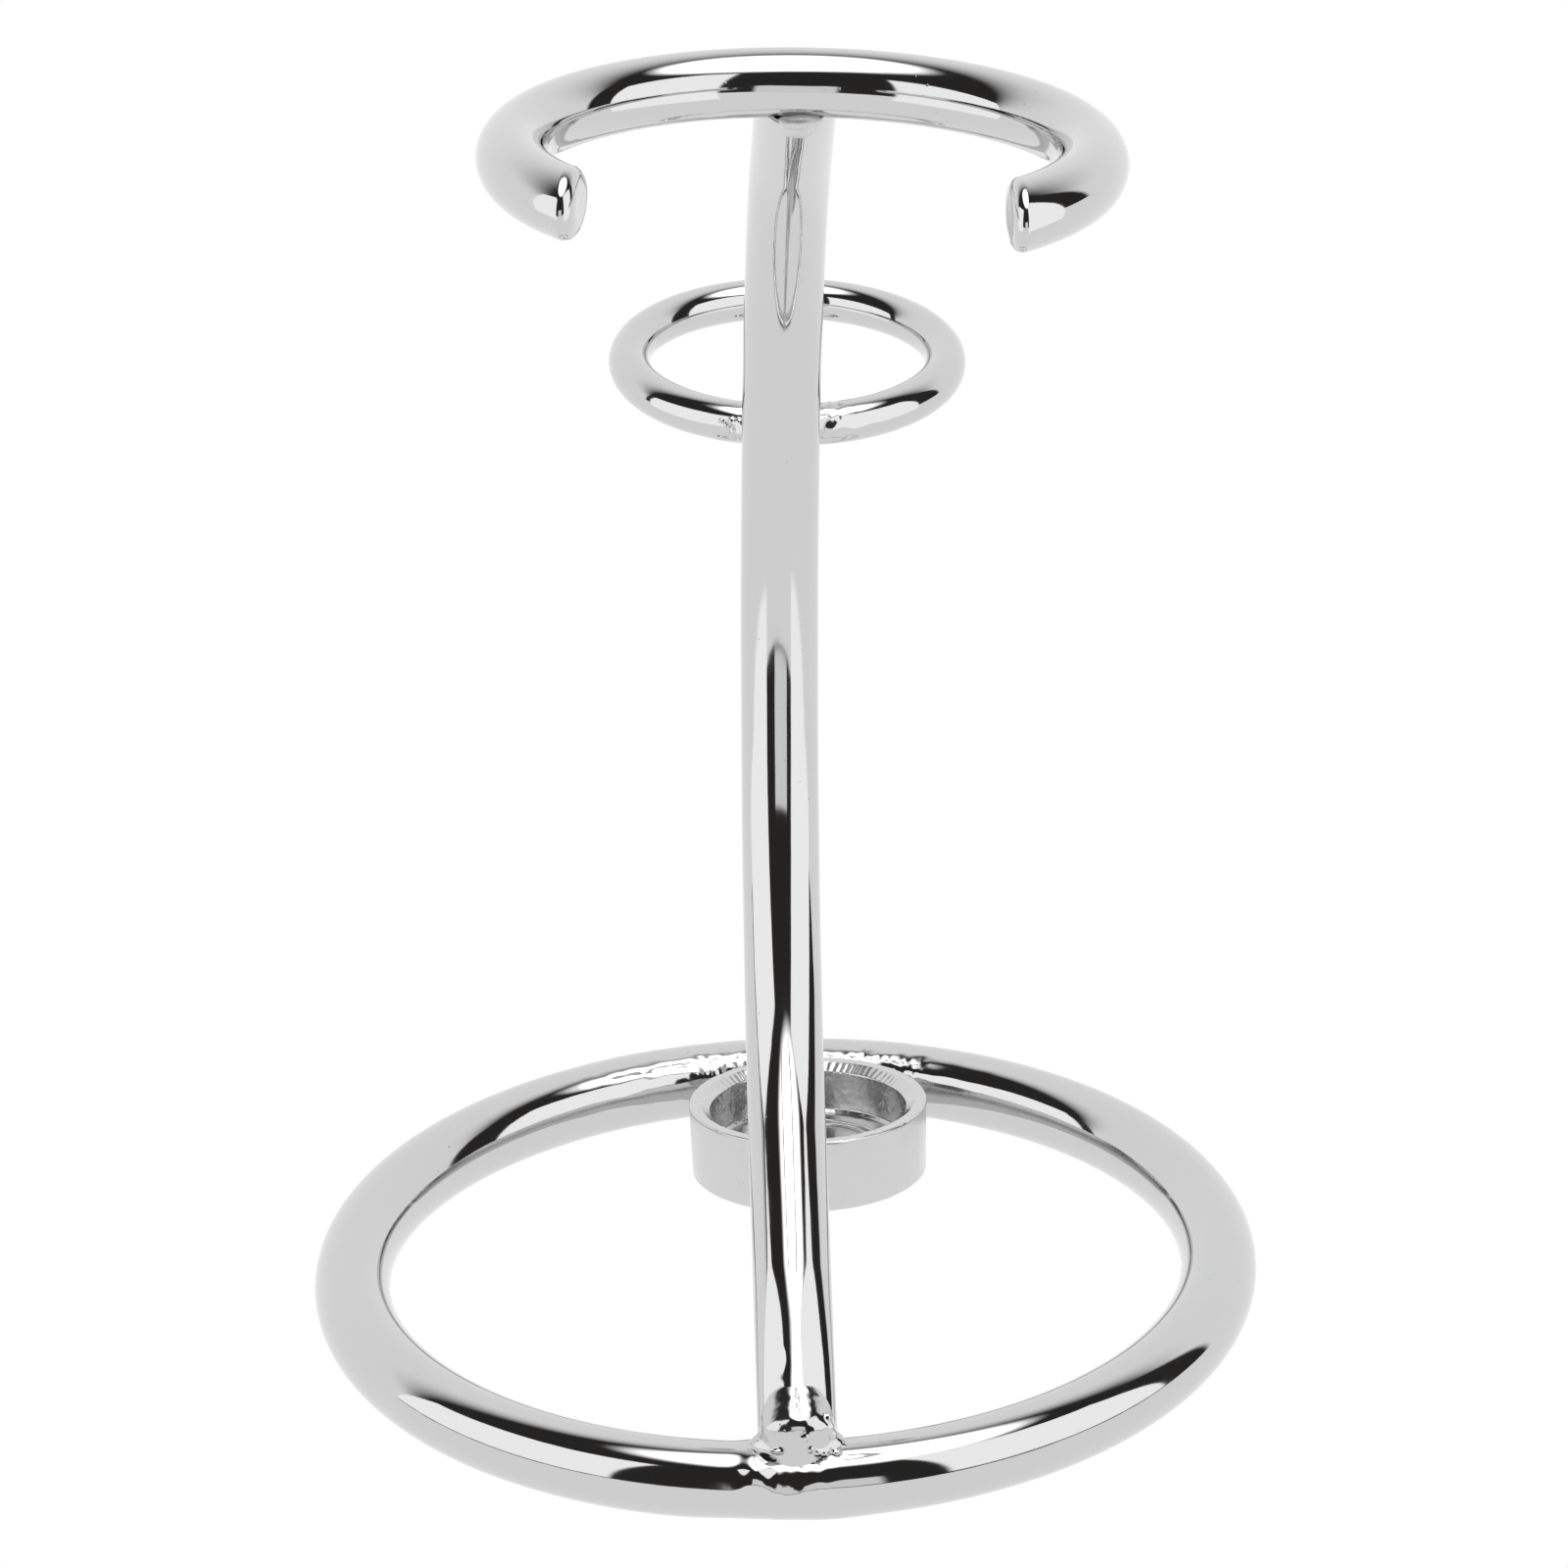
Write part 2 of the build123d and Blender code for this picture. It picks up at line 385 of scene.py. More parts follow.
def joint_relief(points):
    """The ground butt joint at the front of the base ring: humps, a notch and roughness."""
    x, z = points[..., 0], points[..., 2]
    rough = 0.05 * lumps(points, 1.6, 1) + 0.03 * lumps(points, 0.8, 2)
    shape = ridge(x, -0.4, 3.4) * rough
    for middle, height, half_width, half_height, rise in JOINT_HUMPS:
        shape += rise * ridge(x, middle, half_width) * ridge(z, height, half_height)
    above_tip = z - NOTCH_TIP_Z
    off_middle = np.abs(x - NOTCH_X - NOTCH_LEAN * above_tip)
    off_notch = off_middle / (NOTCH_TIP_WIDTH + NOTCH_SPREAD * np.maximum(above_tip, 0))
    shape -= NOTCH_DEPTH * smooth_step(2.2, 7.0, z) * smooth_step(1.4, 0.1, off_notch)
    for middle, half_width, rise in JOINT_UNDERSIDE:
        shape += rise * ridge(x, middle, half_width) * smooth_step(3.0, 0.5, z)
    return shape


def base_ring_relief(points):
    """The joint at the front, flux pits near the cup and a slight waviness."""
    x, y = points[..., 0], points[..., 1]
    shape = smooth_step(-30, -38, y) * joint_relief(points)
    cup_side = smooth_step(26, 38, y) * smooth_step(26, 13, np.abs(x))
    shape += cup_side * (0.035 * lumps(points, 1.6, 4) + 0.03 * lumps(points, 0.6, 5))
    shape += 0.012 * lumps(points, 7.0, 6)
    return shape


def settle(piece):
    """Nothing goes below the table: a flattened spot is left where a lump would."""
    for vertex in piece.data.vertices:
        vertex.co.z = max(vertex.co.z, 0.0)


def make_base_ring(look):
    """The whole base ring, which lies level on the table."""
    level = ring_axes(0, 0)
    middle = UP * THICK_R
    piece = closed_ring(
        "base_ring_wire", "base_ring", level, middle, BASE_R, THICK_R, 128, [-90, 75, 96],
        base_ring_relief, look,
    )
    settle(piece)


# ---- Brush ring ----

def brush_end_angles(end_x, skew, reach, back):
    """Ring angles of a skewed saw cut, moved back into the wire, at these distances from the centre."""
    side = np.sign(end_x)
    tilt = side * radians(skew)
    end_y = -((BRUSH_RING_D / 2) ** 2 - end_x**2) ** 0.5
    offset = end_x * cos(tilt) + end_y * sin(tilt) + side * back
    return tilt - np.arccos(offset / reach)


def brush_ring_relief(points):
    """A slight swelling beside the front head weld, and waviness."""
    from_weld = np.linalg.norm(points - (HEAD + [0, -2.4, -1.4]), axis=-1)
    shape = 0.04 * smooth_step(3.2, 0.5, from_weld) * (1 + 0.5 * lumps(points, 1.2, 11))
    shape += 0.010 * lumps(points, 6.0, 12)
    return shape


def end_face(rim, outwards, rounding):
    """Rings of points from a wire's last section in to the middle of its rounded, ground end."""
    centre = rim.mean(0)
    rings = []
    for share in (0.25, 0.5, 0.75, 1.0):
        angle = share * pi / 2
        spread = 1 - (1 - cos(angle)) * rounding / BRUSH_R
        rings.append(centre + (rim - centre) * spread + outwards * rounding * sin(angle))
    flat = rings[-1]
    middle = flat.mean(0)
    for share in (0.85, 0.65, 0.45, 0.25, 0.1):
        rings.append(middle + (flat - middle) * share)
    return rings


def make_brush_ring(look):
    """An open ring that runs from its right end round the back to its left end."""
    turns = full_turn(112)
    ring_r = BRUSH_RING_D / 2
    reach = ring_r + BRUSH_R * np.cos(turns)
    start = brush_end_angles(BRUSH_END_RIGHT, BRUSH_SKEW_RIGHT, reach, BRUSH_ROUND_RIGHT)
    end = brush_end_angles(BRUSH_END_LEFT, BRUSH_SKEW_LEFT, reach, BRUSH_ROUND_LEFT) + 2 * pi
    span = ring_r * float((end - start).mean())
    share = graded(span, [0, span / 2, span], fine=0.16, coarse=0.55, reach=4.0) / span
    angles = start + (end - start) * share[:, None]
    turns = np.broadcast_to(turns, angles.shape)
    wire, space = wire_surface(
        angles, turns, BRUSH_AXES, BRUSH_CENTRE, ring_r, BRUSH_R, brush_ring_relief
    )

    x, y, _ = BRUSH_AXES
    right_tilt, left_tilt = radians(BRUSH_SKEW_RIGHT), radians(BRUSH_SKEW_LEFT)
    out_of_right_end = -x * cos(right_tilt) - y * sin(right_tilt)
    out_of_left_end = x * cos(left_tilt) - y * sin(left_tilt)
    right_end = end_face(wire[0], out_of_right_end, BRUSH_ROUND_RIGHT)[::-1]
    left_end = end_face(wire[-1], out_of_left_end, BRUSH_ROUND_LEFT)
    rings = np.array([*right_end, *wire, *left_end])
    right_space = np.repeat(space[:1], len(right_end), axis=0)
    left_space = np.repeat(space[-1:], len(left_end), axis=0)
    space = np.concatenate([right_space, space, left_space])
    make_piece(
        "brush_ring_wire", "brush_ring", capped_points(rings), capped_faces(*rings.shape[:2]), look,
        capped_points(space),
    )


# ---- Razor ring ----

def razor_ring_relief(points):
    """Pits where the ring is welded, and waviness."""
    away = np.linalg.norm(points - RAZOR_CONTACT, axis=-1)
    pitted = smooth_step(9.0, 5.0, away) * smooth_step(-0.4, 0.3, lumps(points, 1.6, 24))
    shape = pitted * (0.08 * lumps(points, 0.7, 21) + 0.06 * lumps(points, 0.35, 22))
    shape += 0.008 * lumps(points, 5.0, 23)
    return shape


def make_razor_ring(look):
    """The whole razor ring, which gets a fine mesh where it touches the stem."""
    closed_ring(
        "razor_ring_wire", "razor_ring", RAZOR_AXES, RAZOR_CENTRE, RAZOR_RING_D / 2, RAZOR_R, 80,
        [-90], razor_ring_relief, look,
    )


# ---- Stem ----

def stem_relief(points):
    """A dent and a filed front at the foot, and waviness."""
    dent_place = [FOOT[0] - 1.7, -38.4, 14.5]
    dent = np.linalg.norm((points - dent_place) * [1, 0.7, 0.45], axis=-1)
    shape = -0.04 * smooth_step(1.2, 0.2, dent)
    from_foot = np.linalg.norm(points - FOOT, axis=-1)
    in_front = (points - FOOT) @ FILED_SIDE
    near_foot = smooth_step(FILED_REACH, 3.0, from_foot)
    shape -= FILED_DEPTH * near_foot * smooth_step(0.5, 3.3, in_front)
    shape += 0.007 * lumps(points, 5.0, 31)
    shape += 0.002 * lumps(points, 1.5, 32)
    return shape


def make_stem(look):
    """The bent wire from its foot up to the level cut under the brush ring."""
    path = rounded_path(CORNERS, STEM_BENDS, step=0.25)
    length = path_distances(path)[-1]
    along = graded(length, [0, length], fine=0.2, coarse=0.6, reach=8.0)
    middles, ahead = sample_path(path, along)
    across = -unit(np.cross(np.cross(ahead, [1, 0, 0]), ahead))
    front = np.cross(across, ahead)
    turns = full_turn(128)[None, :, None]
    outwards = np.cos(turns) * across[:, None] + np.sin(turns) * front[:, None]
    points = middles[:, None] + outwards * THICK_R
    points = points + outwards * stem_relief(points)[..., None]

    bevel = HEAD_BEVEL_SLOPE * np.maximum(HEAD[1] - HEAD_BEVEL_START - points[..., 1], 0)
    points[..., 2] = np.minimum(points[..., 2], HEAD[2] - HEAD_FLAT_DROP - bevel)
    turns = turns[..., 0]
    parts = (along[:, None], THICK_R * np.cos(turns), THICK_R * np.sin(turns))
    space = np.stack(np.broadcast_arrays(*parts), axis=-1)
    make_piece(
        "stem_wire", "stem", capped_points(points), capped_faces(*points.shape[:2]), look,
        capped_points(space),
    )


# =============================== cup ===============================

def cup_profile():
    """Radius and height of the cup's skin, from the middle of its floor out and down to its foot."""
    outer, foot = CUP_OD / 2, CUP_FOOT_OD / 2
    recess = CUP_RECESS_D / 2
    floor = CUP_HEIGHT - CUP_DEPTH
    recess_floor = floor - CUP_RECESS_DEPTH
    hole = 0.4
    corners = [
        (hole, recess_floor),
        (recess - 0.15, recess_floor),
        (recess, recess_floor + 0.15),
        (recess, floor - 0.12),
        (recess + 0.12, floor),
        (CUP_BORE_R - 0.35, floor),
        (CUP_BORE_R, floor + 0.35),
        (CUP_BORE_R, CUP_HEIGHT - CUP_BEVEL_DROP),
        (CUP_LIP_R, CUP_HEIGHT - 0.06),
        (CUP_LIP_R + 0.08, CUP_HEIGHT),
        (outer - 0.14, CUP_HEIGHT),
        (outer, CUP_HEIGHT - 0.14),
        (foot, 0.3),
        (foot - 0.3, 0.0),
    ]
    parts = [[corners[0]]]
    for start, end in zip(corners, corners[1:]):
        steps = max(2, ceil(np.linalg.norm(np.subtract(end, start)) / 0.16))
        parts.append(np.linspace(start, end, steps + 1)[1:])
    underside_steps = 12
    parts.append(np.linspace(corners[-1], (hole, 0.0), underside_steps + 1)[1:])
    return np.vstack(parts)


def cup_relief(radius, height, angle, points):
    """Chatter on the bevel, a chipped rim, casting pits in the bore and a faint grain outside."""
    on_bevel = (
        smooth_step(CUP_BORE_R - 0.02, CUP_BORE_R + 0.12, radius)
        * smooth_step(CUP_LIP_R + 0.1, CUP_LIP_R - 0.1, radius)
        * smooth_step(CUP_HEIGHT - 1.1, CUP_HEIGHT - 0.7, height)
    )
    rear = smooth_step(-0.2, 0.6, np.sin(angle))
    wobble = lumps(points, 1.5, 41)
    chatter = np.sin(angle * 96 + 2.5 * wobble) * (0.5 + 0.5 * lumps(points, 2.2, 42))
    shape = on_bevel * (0.035 * chatter * (0.25 + rear) + 0.02 * wobble)

    floor = CUP_HEIGHT - CUP_DEPTH
    in_bore = (
        smooth_step(CUP_BORE_R + 0.05, CUP_BORE_R - 0.02, radius)
        * smooth_step(floor - 0.1, floor + 0.3, height)
    )
    pits = smooth_step(0.2, 0.55, lumps(points, 0.7, 43))
    shape += in_bore * (-0.035 * pits + 0.014 * lumps(points, 0.4, 44))

    on_edge = smooth_step(CUP_HEIGHT - 0.35, CUP_HEIGHT, height) * (1 - on_bevel)
    shape -= on_edge * 0.05 * smooth_step(0.1, 0.5, lumps(points, 0.9, 45))
    shape += (1 - in_bore) * (1 - on_bevel) * 0.006 * lumps(points, 1.3, 46)
    return shape


def make_cup(look):
    """The turned cup, tilted, with its lowest edge ground flat where it would go through the table."""
    profile = cup_profile()
    slope = unit(np.gradient(profile, axis=0))
    facing = np.stack([-slope[:, 1], slope[:, 0]], axis=1)
    radius, angles = np.meshgrid(profile[:, 0], full_turn(480), indexing="ij")
    height = np.broadcast_to(profile[:, 1:2], radius.shape)
    smooth = np.stack([radius * np.cos(angles), radius * np.sin(angles), height], axis=-1)
    relief = cup_relief(radius, height, angles, smooth)
    radius = radius + facing[:, 0:1] * relief
    height = height + facing[:, 1:2] * relief

    x, y, normal = ring_axes(CUP_PITCH, 0)
    lift = CUP_FOOT_OD / 2 * sin(radians(-CUP_PITCH)) - CUP_SINK
    points = (
        np.array([*RAZOR_AXIS, lift])
        + (radius * np.cos(angles))[..., None] * x
        + (radius * np.sin(angles))[..., None] * y
        + height[..., None] * normal
    )
    points[..., 2] = np.maximum(points[..., 2], 0)
    faces = [face[::-1] for face in capped_faces(*points.shape[:2])]
    make_piece("cup_body", "razor_cup", capped_points(points), faces, look)


# =============================== welds ===============================

def blob(centre, radii, squareness=2.0, slope=0.0):
    """Points and faces of an ellipsoid. Squareness squares its side view, and slope lowers its front."""
    shell = bmesh.new()
    bmesh.ops.create_icosphere(shell, subdivisions=5, radius=1)
    points = np.array([v.co for v in shell.verts])
    faces = [tuple(v.index for v in f.verts) for f in shell.faces]
    shell.free()
    x, y, z = np.abs(points).T
    size = (x**2 + (y**squareness + z**squareness) ** (2 / squareness)) ** 0.5
    points = points / size[:, None] * np.asarray(radii)
    points[:, 2] += slope * points[:, 1]
    return np.asarray(centre) + points, faces


def melted(name, blobs, voxel):
    """Points, normals and faces of one smoothed skin around all the blobs."""
    points, faces = [], []
    for blob_points, blob_faces in blobs:
        offset = sum(len(p) for p in points)
        points.append(blob_points)
        faces += [tuple(i + offset for i in face) for face in blob_faces]
    raw = bpy.data.meshes.new(name + "_raw")
    raw.from_pydata(np.vstack(points).tolist(), [], faces)
    shaper = bpy.data.objects.new(name + "_raw", raw)
    bpy.context.scene.collection.objects.link(shaper)
    melt = shaper.modifiers.new("melt", "REMESH")
    melt.mode = "VOXEL"
    melt.voxel_size = voxel
    soften = shaper.modifiers.new("soften", "SMOOTH")
    soften.factor = 0.5
    soften.iterations = 6
    graph = bpy.context.evaluated_depsgraph_get()
    made = bpy.data.meshes.new_from_object(shaper.evaluated_get(graph))
    points = np.array([v.co for v in made.vertices])
    normals = np.array([v.normal for v in made.vertices])
    faces = [tuple(p.vertices) for p in made.polygons]
    bpy.data.objects.remove(shaper)
    bpy.data.meshes.remove(raw)
    bpy.data.meshes.remove(made)
    return points, normals, faces


def weld_piece(name, node, blobs, voxel, roughness, seed, look, floor=None):
    """Blobs melted into one bead, roughened like cooled metal."""
    points, normals, faces = melted(name, blobs, voxel)
    rough = roughness * (lumps(points, 1.4, seed) + 0.6 * lumps(points, 0.6, seed + 1))
    points = points + normals * rough[:, None]
    if floor is not None:
        points[:, 2] = np.maximum(points[:, 2], floor)
    make_piece(name, node, points, faces, look)


def make_foot_weld(look):
    """A squared shoulder around the stem that flares onto the ring, with small drops and spatter."""
    blobs = [
        blob(FOOT + [0, 0, -0.1], (3.6, 2.6, 3.95), squareness=6.0, slope=0.5),
        blob(FOOT + [0, -0.2, -0.7], (4.3, 2.3, 1.8)),
        blob(FOOT + [0, -0.3, -1.0], (4.8, 1.5, 0.9)),
    ]
    blobs += [blob(FOOT + place, radii) for place, radii in FOOT_DROPS]
    weld_piece("foot_weld_bead", "foot_weld", blobs, 0.13, 0.03, 51, look, floor=0.0)


def make_joint_weld(look):
    """A thin disc of filler inside the base ring's joint."""
    blobs = [blob([BASE_JOINT_X, -BASE_R, THICK_R], (0.8, 3.3, 3.3))]
    weld_piece("joint_weld_bead", "base_joint_weld", blobs, 0.16, 0.05, 55, look, floor=0.0)


def make_head_welds(look):
    """A bead under the front of the brush ring, and one behind it on the stem's cut."""
    ahead = run_direction(STEM_RUNS[-1])
    facing = unit(np.cross([1, 0, 0], ahead))
    front = HEAD - ahead * 1.2 + facing * THICK_R
    blobs = [
        blob(front + [0, 0.9, -0.1], (1.8, 1.1, 1.2)),
        blob(front + [0.1, -0.2, 0.55], (2.0, 0.8, 0.7)),
    ]
    weld_piece("head_weld_front_bead", "head_weld_front", blobs, 0.12, 0.05, 61, look)
    back = HEAD + [0, BRUSH_R, -HEAD_FLAT_DROP]
    blobs = [
        blob(back + [0, -0.2, 0.1], (1.8, 1.5, 1.5)),
        blob(back + [1.3, 0, -0.3], (1.2, 1.1, 1.0)),
        blob(back + [-1.3, 0.1, -0.3], (1.1, 1.1, 1.0)),
    ]
    weld_piece("head_weld_back_bead", "head_weld_back", blobs, 0.14, 0.07, 65, look)


def make_razor_ring_welds(look):
    """Thin, rough filler in the corners where the ring touches the stem, with crumbs along the ring."""
    _, contact_y, contact_z = RAZOR_CONTACT
    for side, name in ((-1, "left"), (1, "right")):
        corner = np.array([stem_x(contact_z) + side * THICK_R, contact_y - RAZOR_R, contact_z])
        blobs = [
            blob(corner + [-side * 0.9, 0.9, 0.1], (1.6, 1.2, 1.5)),
            blob(corner + [side * 0.4, 1.35, 0.8], (0.8, 0.7, 0.6)),
            blob(corner + [side * 0.3, 1.1, -0.2], (0.9, 0.6, 0.9)),
        ]
        for out, high, size in RAZOR_CRUMBS:
            blobs.append(blob(corner + [side * out, 0.85 + 0.25 * out, high], (size, size, size)))
        node = f"razor_ring_weld_{name}"
        weld_piece(node + "_bead", node, blobs, 0.10, 0.14, 71 + side, look)


def make_cup_welds(look):
    """Two beads between the cup and the inside of the base ring."""
    sideways = np.cross(UP, CUP_OUTWARDS)
    for side, name in ((1, "left"), (-1, "right")):
        centre = CUP_CONTACT + sideways * side * CUP_WELD_SPREAD
        blobs = [
            blob(centre, (1.7, 1.6, 1.6)),
            blob(centre + sideways * side * 1.6 + CUP_OUTWARDS * 0.3, (1.1, 1.0, 1.0)),
            blob(centre - sideways * side * 1.6 - UP * 0.2, (1.2, 1.0, 1.0)),
        ]
        node = f"cup_weld_{name}"
        weld_piece(node + "_bead", node, blobs, 0.12, 0.08, 81 + side, look, floor=0.0)


# =============================== materials ===============================

class Nodes:
    """Short way to add and link the shader nodes of a tree that starts empty."""

    def __init__(self, tree):
        self.tree = tree
        tree.nodes.clear()

    def add(self, kind, inputs=None, **settings):
        """A new node. Each input, by name or number, is linked to a socket or set to a value."""
        node = self.tree.nodes.new(kind)
        for name, value in settings.items():
            setattr(node, name, value)
        for name, value in (inputs or {}).items():
            if isinstance(value, bpy.types.NodeSocket):
                self.tree.links.new(value, node.inputs[name])
            else:
                node.inputs[name].default_value = value
        return node


def new_material(name):
    """A material without nodes, and the means to add them."""
    material = bpy.data.materials.new(name)
    material.use_nodes = True
    return material, Nodes(material.node_tree)


def ramp(n, value, start, end, at_start, at_end):
    """A value rescaled from start..end to at_start..at_end, and held beyond them."""
    inputs = {"Value": value, 1: start, 2: end, 3: at_start, 4: at_end}
    return n.add("ShaderNodeMapRange", inputs).outputs[0]


def texture_noise(n, place, scale, detail):
    """Smooth noise between 0 and 1."""
    inputs = {"Vector": place, "Scale": scale, "Detail": detail}
    return n.add("ShaderNodeTexNoise", inputs).outputs[0]


def scattered_pits(n, place, cells, sizes, cloud, cloud_levels):
    """1 in small round pits, of which there are some only where the cloud is dense."""
    middle = n.add("ShaderNodeTexVoronoi", {"Vector": place, "Scale": cells}).outputs["Distance"]
    pit = ramp(n, middle, *sizes, 1.0, 0.0)
    some = ramp(n, cloud, *cloud_levels, 0.0, 1.0)
    return n.add("ShaderNodeMath", {0: pit, 1: some}, operation="MULTIPLY").outputs[0]


def pitted_metal(n, tone, pit_tone, rough, fine_relief, fine_depth, pits, pit_depth):
    """A metal with fine relief all over and sunken pits of their own tone."""
    colour = n.add(
        "ShaderNodeMix", {"Factor": pits, 6: (*tone, 1), 7: (*pit_tone, 1)}, data_type="RGBA"
    ).outputs[2]
    bump = n.add(
        "ShaderNodeBump", {"Height": fine_relief, "Distance": fine_depth, "Strength": 1.0}
    ).outputs[0]
    bump = n.add(
        "ShaderNodeBump", {"Height": pits, "Distance": -pit_depth, "Strength": 1.0, "Normal": bump}
    ).outputs[0]
    shader = n.add(
        "ShaderNodeBsdfPrincipled",
        {"Base Color": colour, "Metallic": 1.0, "Roughness": rough, "Normal": bump},
    )
    n.add("ShaderNodeOutputMaterial", {"Surface": shader.outputs[0]})


def chrome(name, tone, roughness, haze, scratch_depth, pit_depth):
    """Chrome plate with a little haze, fine lines along the wire and scattered pits."""
    material, n = new_material(name)
    wire = n.add("ShaderNodeAttribute", attribute_name="wire_space").outputs["Vector"]
    stretched = n.add("ShaderNodeMapping", {"Vector": wire, "Scale": (90, 2600, 2600)}).outputs[0]
    lines = texture_noise(n, stretched, 1.0, 3.0)
    place = n.add("ShaderNodeTexCoord").outputs["Object"]
    cloud = texture_noise(n, place, 160.0, 5.0)
    pits = scattered_pits(n, place, 900.0, (0.02, 0.10), cloud, (0.56, 0.66))
    rough = ramp(n, cloud, 0.35, 0.75, roughness, roughness + haze)
    darker = [PIT_SHADE * c for c in tone]
    pitted_metal(n, tone, darker, rough, lines, scratch_depth, pits, pit_depth)
    return material


def cup_chrome():
    """Satin plate with fine grain and grey specks."""
    material, n = new_material("satin_chrome")
    place = n.add("ShaderNodeTexCoord").outputs["Object"]
    cloud = texture_noise(n, place, 220.0, 6.0)
    grain = texture_noise(n, place, 2400.0, 3.0)
    pits = scattered_pits(n, place, 1100.0, (0.03, 0.12), cloud, (0.54, 0.64))
    rough = ramp(n, cloud, 0.3, 0.7, 0.16, 0.30)
    pitted_metal(n, SATIN_TONE, SATIN_PIT_TONE, rough, grain, 0.00001, pits, 0.00002)
    return material


def plain_glow(name, colour, strength):
    """The same brightness from everywhere."""
    material, n = new_material(name)
    light = n.add("ShaderNodeEmission", {"Color": (*colour, 1), "Strength": strength})
    n.add("ShaderNodeOutputMaterial", {"Surface": light.outputs[0]})
    return material


def panel_place(n):
    """A panel's own coordinates, from -1 to 1 across it."""
    place = n.add("ShaderNodeUVMap").outputs[0]
    inputs = {"Vector": place, "Location": (-1, -1, 0), "Scale": (2, 2, 0)}
    return n.add("ShaderNodeMapping", inputs).outputs[0]


def fade_out(n, reach, softness):
    """1 in the middle, falling to 0 at a reach of 1, over a share of the way."""
    inputs = {"Value": reach, 1: 1 - softness, 2: 1.0, 3: 1.0, 4: 0.0}
    return n.add("ShaderNodeMapRange", inputs, interpolation_type="SMOOTHSTEP").outputs[0]


def glow_through(n, level, strength):
    """A light at level 1 that is clear at level 0."""
    light = n.add("ShaderNodeEmission", {"Strength": strength})
    clear = n.add("ShaderNodeBsdfTransparent")
    both = n.add("ShaderNodeMixShader", {0: level, 1: clear.outputs[0], 2: light.outputs[0]})
    n.add("ShaderNodeOutputMaterial", {"Surface": both.outputs[0]})


def round_glow(name, strength, softness):
    """A round light that fades towards its rim."""
    material, n = new_material(name)
    reach = n.add("ShaderNodeVectorMath", {0: panel_place(n)}, operation="LENGTH").outputs["Value"]
    glow_through(n, fade_out(n, reach, softness), strength)
    return material


def square_glow(name, strength, soft_sides, soft_ends):
    """A light that fades towards its sides and its ends."""
    material, n = new_material(name)
    parts = n.add("ShaderNodeSeparateXYZ", {0: panel_place(n)}).outputs
    levels = []
    for part, softness in zip(parts, (soft_sides, soft_ends)):
        reach = n.add("ShaderNodeMath", {0: part}, operation="ABSOLUTE").outputs[0]
        levels.append(fade_out(n, reach, softness))
    both = n.add("ShaderNodeMath", {0: levels[0], 1: levels[1]}, operation="MULTIPLY").outputs[0]
    glow_through(n, both, strength)
    return material


# =============================== studio ===============================

def panel(name, corners, material, lights=True):
    """A flat light or reflector, with its corners in mm, that the camera doesn't see."""
    mesh = bpy.data.meshes.new(name)
    mesh.from_pydata([tuple(c * MM for c in corner) for corner in corners], [], [(0, 1, 2, 3)])
    uv = mesh.uv_layers.new()
    for loop, place in zip(uv.data, ((0, 0), (1, 0), (1, 1), (0, 1))):
        loop.uv = place
    made = bpy.data.objects.new(name, mesh)
    bpy.context.scene.collection.objects.link(made)
    mesh.materials.append(material)
    made.visible_camera = False
    made.visible_shadow = False
    made.visible_diffuse = lights


def level_panel(name, low_x, high_x, low_y, high_y, height, material, lights=True):
    """A panel that lies level, over these ranges of x and y."""
    corners = [(low_x, low_y), (high_x, low_y), (high_x, high_y), (low_x, high_y)]
    panel(name, [(*corner, height) for corner in corners], material, lights)


def upright_panel(name, start, end, low, high_start, high_end, material, lights=True):
    """A panel that stands on a line on the floor plan, with its top edge level or sloping."""
    corners = [(*start, low), (*end, low), (*end, high_end), (*start, high_start)]
    panel(name, corners, material, lights)


def make_room():
    """White to the camera, and a dark room in reflections."""
    world = bpy.data.worlds.new("studio")
    bpy.context.scene.world = world
    world.use_nodes = True
    n = Nodes(world.node_tree)
    path = n.add("ShaderNodeLightPath").outputs["Is Camera Ray"]
    seen = n.add("ShaderNodeBackground", {"Color": (1, 1, 1, 1), "Strength": FLOOR_BRIGHTNESS})
    room = n.add("ShaderNodeBackground", {"Color": (*ROOM_COLOUR, 1), "Strength": ROOM_BRIGHTNESS})
    both = n.add("ShaderNodeMixShader", {0: path, 1: room.outputs[0], 2: seen.outputs[0]})
    n.add("ShaderNodeOutputWorld", {"Surface": both.outputs[0]})


def make_floor():
    """Overexposed white paper, and the dark room beyond its front edge, which only reflections show."""
    far = FLOOR_REACH
    corners = [(-far, -far), (far, -far), (far, far), (-far, far)]
    mesh = bpy.data.meshes.new("floor")
    mesh.from_pydata([(x * MM, y * MM, 0) for x, y in corners], [], [(0, 1, 2, 3)])
    floor = bpy.data.objects.new("floor", mesh)
    bpy.context.scene.collection.objects.link(floor)
    mesh.materials.append(plain_glow("white_paper", (1, 1, 1), FLOOR_BRIGHTNESS))
    floor.location.z = -FLOOR_GAP * MM
    dark = plain_glow("dark_room", ROOM_COLOUR, ROOM_BRIGHTNESS)
    level_panel("room_in_front", -far, far, -far, FLOOR_FRONT_Y, DARK_ROOM_Z, dark, lights=False)


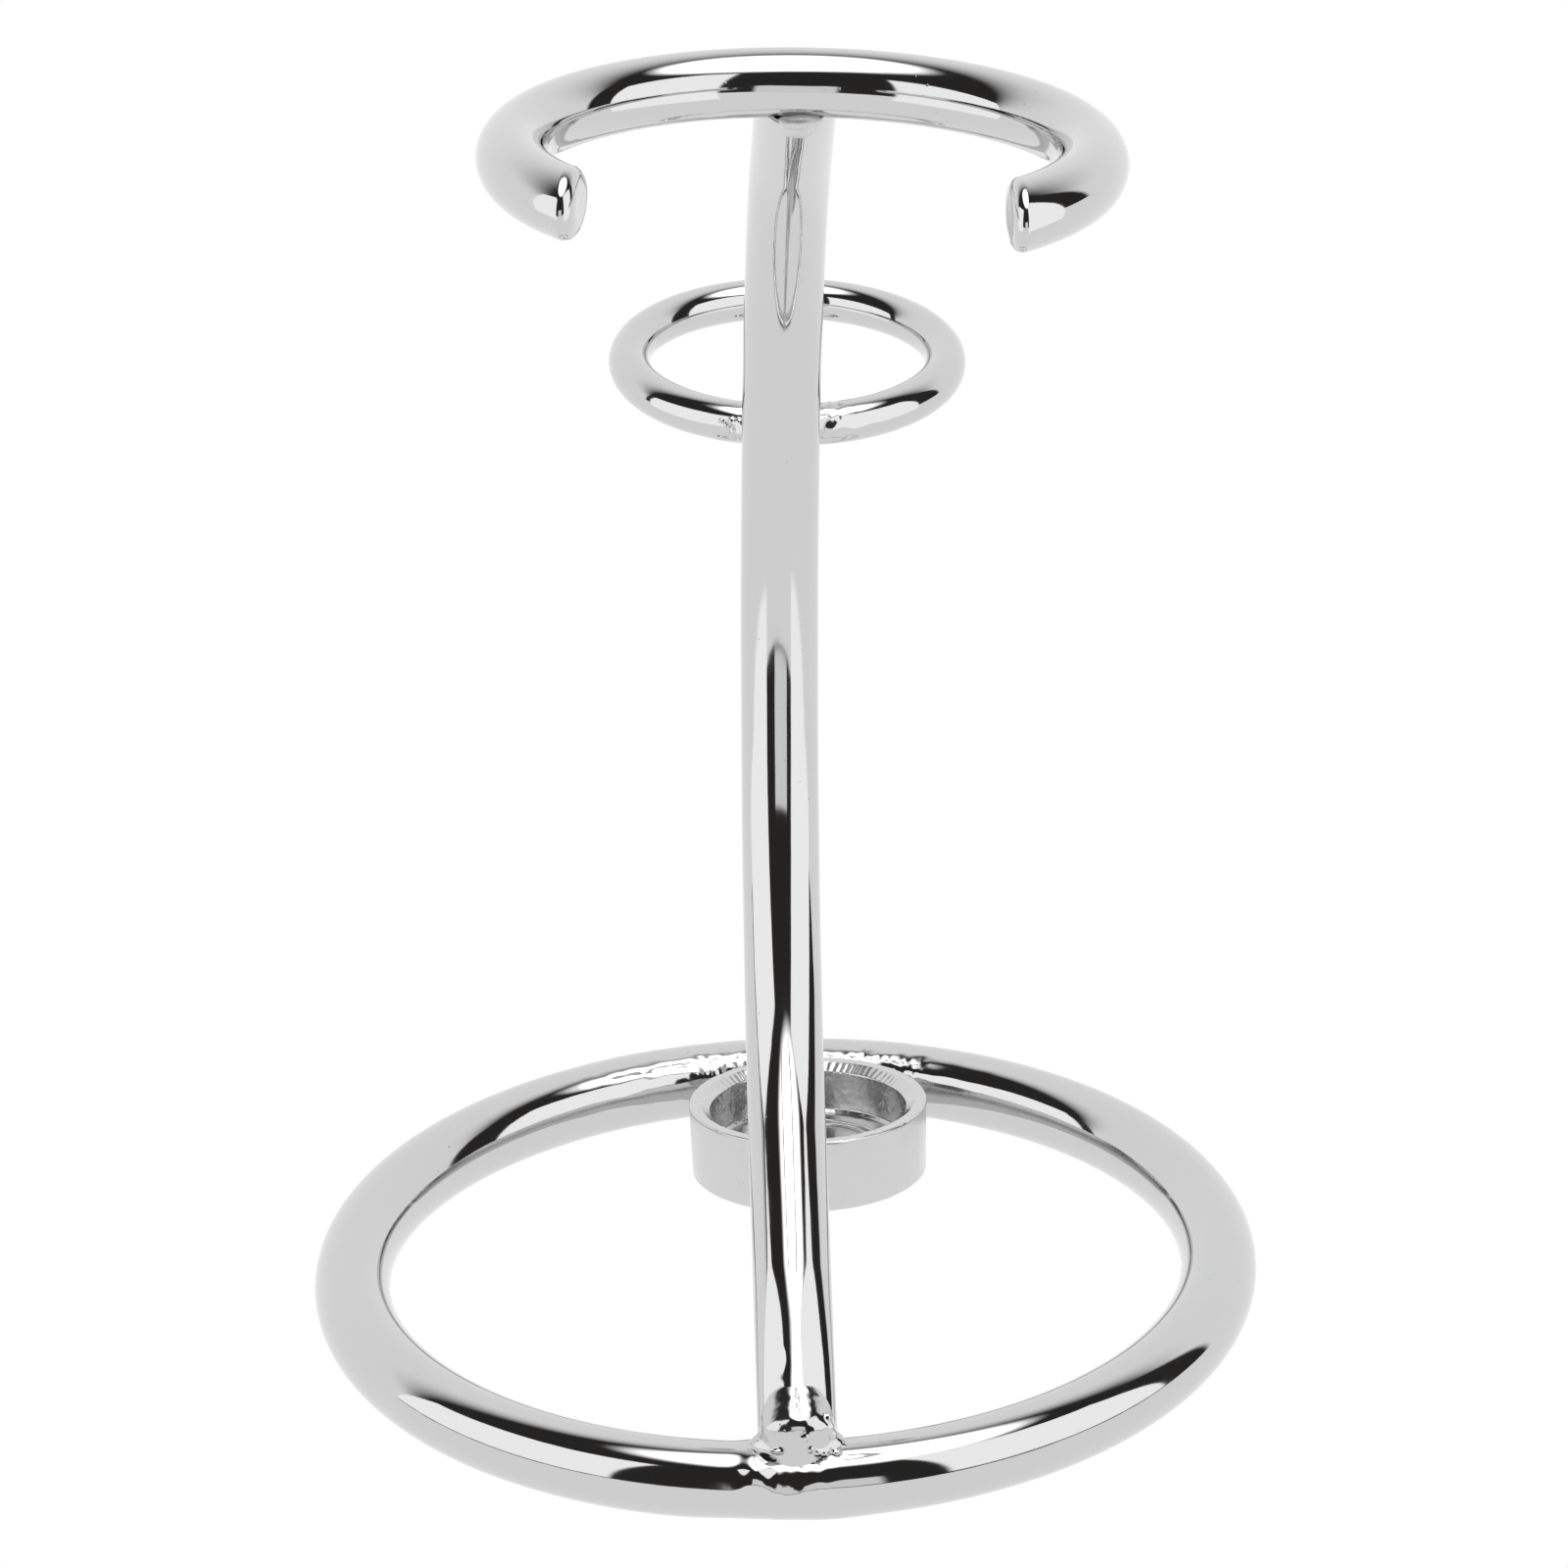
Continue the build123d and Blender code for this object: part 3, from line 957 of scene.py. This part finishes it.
def make_lights():
    """A soft light overhead, two side lights, and a front board and a backdrop to be reflected."""
    x, y, half_x, half_y, height = OVERHEAD
    overhead = round_glow("overhead_glow", OVERHEAD_BRIGHTNESS, OVERHEAD_SOFTNESS)
    level_panel("overhead_light", x - half_x, x + half_x, y - half_y, y + half_y, height, overhead)
    side = square_glow("side_glow", SIDE_BRIGHTNESS, SIDE_SOFTNESS, SIDE_SOFTNESS)
    upright_panel("left_light", *LEFT_LIGHT, side)
    upright_panel("right_light", *RIGHT_LIGHT, side)
    front = square_glow("front_glow", FRONT_BRIGHTNESS, FRONT_SOFTNESS, FRONT_SOFTNESS)
    upright_panel("front_board", *FRONT_BOARD, front, lights=False)
    back = square_glow("backdrop_glow", FLOOR_BRIGHTNESS, BACKDROP_SOFT_SIDES, BACKDROP_SOFT_ENDS)
    upright_panel("backdrop", *BACKDROP, back, lights=False)


def make_camera():
    """The photograph's place and angle: in front, looking down, turned a hair and rolled."""
    data = bpy.data.cameras.new("camera")
    data.sensor_width = CAMERA_SENSOR
    data.lens = CAMERA_LENS
    data.clip_start, data.clip_end = CAMERA_CLIP
    camera = bpy.data.objects.new("camera", data)
    bpy.context.scene.collection.objects.link(camera)
    down, turn, roll = radians(CAMERA_DOWN), radians(CAMERA_RIGHT_TURN), radians(CAMERA_ROLL)
    ahead = np.array([sin(turn) * cos(down), cos(turn) * cos(down), -sin(down)])
    level = unit(np.cross(ahead, UP))
    upright = np.cross(level, ahead)
    right = cos(roll) * level + sin(roll) * upright
    above = -sin(roll) * level + cos(roll) * upright
    rows = [(right[k], above[k], -ahead[k], CAMERA_PLACE[k]) for k in range(3)]
    camera.matrix_world = Matrix([*rows, (0, 0, 0, 1)])
    bpy.context.scene.camera = camera


# =============================== the whole scene ===============================

wire_chrome = chrome("wire_chrome", WIRE_TONE, 0.035, 0.05, 0.000002, 0.00002)
weld_chrome = chrome("weld_chrome", WELD_TONE, 0.05, 0.10, 0.000004, 0.00004)
dull_weld_chrome = chrome("dull_weld_chrome", DULL_WELD_TONE, 0.45, 0.10, 0.000004, 0.00004)

make_base_ring((wire_chrome, "thick_wire"))
make_brush_ring((wire_chrome, "brush_wire"))
make_razor_ring((wire_chrome, "razor_wire"))
make_stem((wire_chrome, "thick_wire"))
make_cup((cup_chrome(), "cup_metal"))
make_foot_weld((weld_chrome, "weld_metal"))
make_joint_weld((weld_chrome, "weld_metal"))
make_head_welds((dull_weld_chrome, "weld_metal"))
make_razor_ring_welds((weld_chrome, "weld_metal"))
make_cup_welds((weld_chrome, "weld_metal"))
make_room()
make_floor()
make_lights()
make_camera()
bpy.context.scene.view_settings.view_transform = "Standard"
